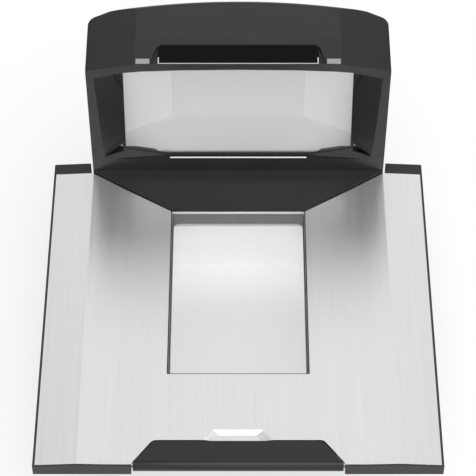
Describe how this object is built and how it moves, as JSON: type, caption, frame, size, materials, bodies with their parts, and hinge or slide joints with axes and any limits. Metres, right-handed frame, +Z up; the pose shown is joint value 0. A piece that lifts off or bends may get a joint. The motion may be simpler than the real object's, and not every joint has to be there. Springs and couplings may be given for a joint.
{
  "type": "bioptic counter barcode scanner with produce scale",
  "caption": "Counter barcode scanner and produce scale: stainless platter with a window, dark tower with a second window, hinged produce rail.",
  "frame": {"origin": "on the surface under the feet, at the centre of the outline", "axes": "+X to the cashier's right, +Y from the cashier's edge to the tower at the rear, +Z up"},
  "size_m": [0.294, 0.347, 0.2316],
  "materials": {
    "stainless": "stainless sheet, brushed from front to rear",
    "charcoal_plastic": "moulded, fine grained, satin",
    "dark_plastic": "moulded, fine grained",
    "carrier_plastic": "glass-filled moulding, dull",
    "cast_aluminium": "die cast, black powder coat",
    "machined_aluminium": "milled, clear anodised",
    "zinc_steel": "zinc plated",
    "window_glass": "clear hardened glass",
    "black_rubber": "matt",
    "white_plastic": "white diffusing moulding",
    "mirror": "front-silvered glass, hazed",
    "led_white": "diffuser over light strips",
    "lens_black": "black lens barrel with coated glass",
    "circuit_board": "green solder mask",
    "ribbon": "flat flexible cable",
    "level_vial": "bright green spirit vial",
    "badge_gloss": "blank, polished black",
    "key_grey": "satin light grey"
  },
  "bodies": {
    "chassis": {"load_cell": "machined_aluminium", "load_cell_mount": "zinc_steel", "overload_stops": "zinc_steel", "chassis_tub": "cast_aluminium", "deck_cover": "dark_plastic", "deck_screws": "zinc_steel", "inner_glass": "window_glass", "inner_glass_seal": "black_rubber", "optics_well": "white_plastic", "well_mirrors": "mirror", "well_led_bars": "led_white", "deck_imager_board": "circuit_board", "deck_imager_lens": "lens_black", "main_board": "circuit_board", "board_parts": "dark_plastic", "board_standoffs": "zinc_steel", "heat_sink": "machined_aluminium", "port_block": "dark_plastic", "ribbon_cables": "ribbon", "bubble_level": "level_vial", "tower_plinth": "dark_plastic", "tower_bezel": "charcoal_plastic", "tower_hood": "charcoal_plastic", "tower_rear_shell": "dark_plastic", "tower_glass": "window_glass", "tower_glass_seal": "black_rubber", "tower_floor": "white_plastic", "tower_mirror_back": "mirror", "tower_mirrors_side": "mirror", "tower_frame": "zinc_steel", "tower_imager_board": "circuit_board", "tower_imager_lens": "lens_black", "speaker": "dark_plastic", "key_board": "circuit_board", "badge_panel": "badge_gloss", "tower_screws": "zinc_steel"},
    "weigh_frame": {"weigh_frame": "cast_aluminium", "weigh_pads": "black_rubber", "weigh_frame_screws": "zinc_steel"},
    "platter": {"platter_plate": "stainless", "platter_glass": "window_glass", "platter_glass_seal": "black_rubber", "platter_carrier": "carrier_plastic", "rear_caps": "charcoal_plastic", "carrier_screws": "zinc_steel", "rail_hinge_pins": "zinc_steel", "rail_bumpers": "black_rubber"},
    "produce_rail": {"produce_rail": "charcoal_plastic"},
    "key_left": {"key_left": "key_grey"},
    "key_right": {"key_right": "key_grey"},
    "foot_fl": {"level_foot_fl": "zinc_steel", "foot_pad_fl": "black_rubber"},
    "foot_fr": {"level_foot_fr": "zinc_steel", "foot_pad_fr": "black_rubber"},
    "foot_rl": {"level_foot_rl": "zinc_steel", "foot_pad_rl": "black_rubber"},
    "foot_rr": {"level_foot_rr": "zinc_steel", "foot_pad_rr": "black_rubber"}
  },
  "joints": [
    {"name": "weigh_flex", "type": "slide", "parent": "chassis", "child": "weigh_frame", "axis": [0, 0, 1], "range_m": [-0.0005, 0], "stiffness_N_per_m": 60000, "deforming": ["load_cell"]},
    {"name": "platter_lift", "type": "slide", "parent": "weigh_frame", "child": "platter", "axis": [0, 0, 1], "range_m": [0, 0.12]},
    {"name": "rail_hinge", "type": "hinge", "parent": "platter", "child": "produce_rail", "pos_m": [0, -0.1683, 0.0988], "axis": [1, 0, 0], "range_deg": [0, 90]},
    {"name": "key_left_press", "type": "slide", "parent": "chassis", "child": "key_left", "axis": [0, 0, -1], "range_m": [0, 0.00045], "stiffness_N_per_m": 400},
    {"name": "key_right_press", "type": "slide", "parent": "chassis", "child": "key_right", "axis": [0, 0, -1], "range_m": [0, 0.00045], "stiffness_N_per_m": 400},
    {"name": "foot_fl_screw", "type": "slide", "parent": "chassis", "child": "foot_fl", "axis": [0, 0, 1], "range_m": [-0.0015, 0.0015]},
    {"name": "foot_fr_screw", "type": "slide", "parent": "chassis", "child": "foot_fr", "axis": [0, 0, 1], "range_m": [-0.0015, 0.0015]},
    {"name": "foot_rl_screw", "type": "slide", "parent": "chassis", "child": "foot_rl", "axis": [0, 0, 1], "range_m": [-0.0015, 0.0015]},
    {"name": "foot_rr_screw", "type": "slide", "parent": "chassis", "child": "foot_rr", "axis": [0, 0, 1], "range_m": [-0.0015, 0.0015]}
  ]
}
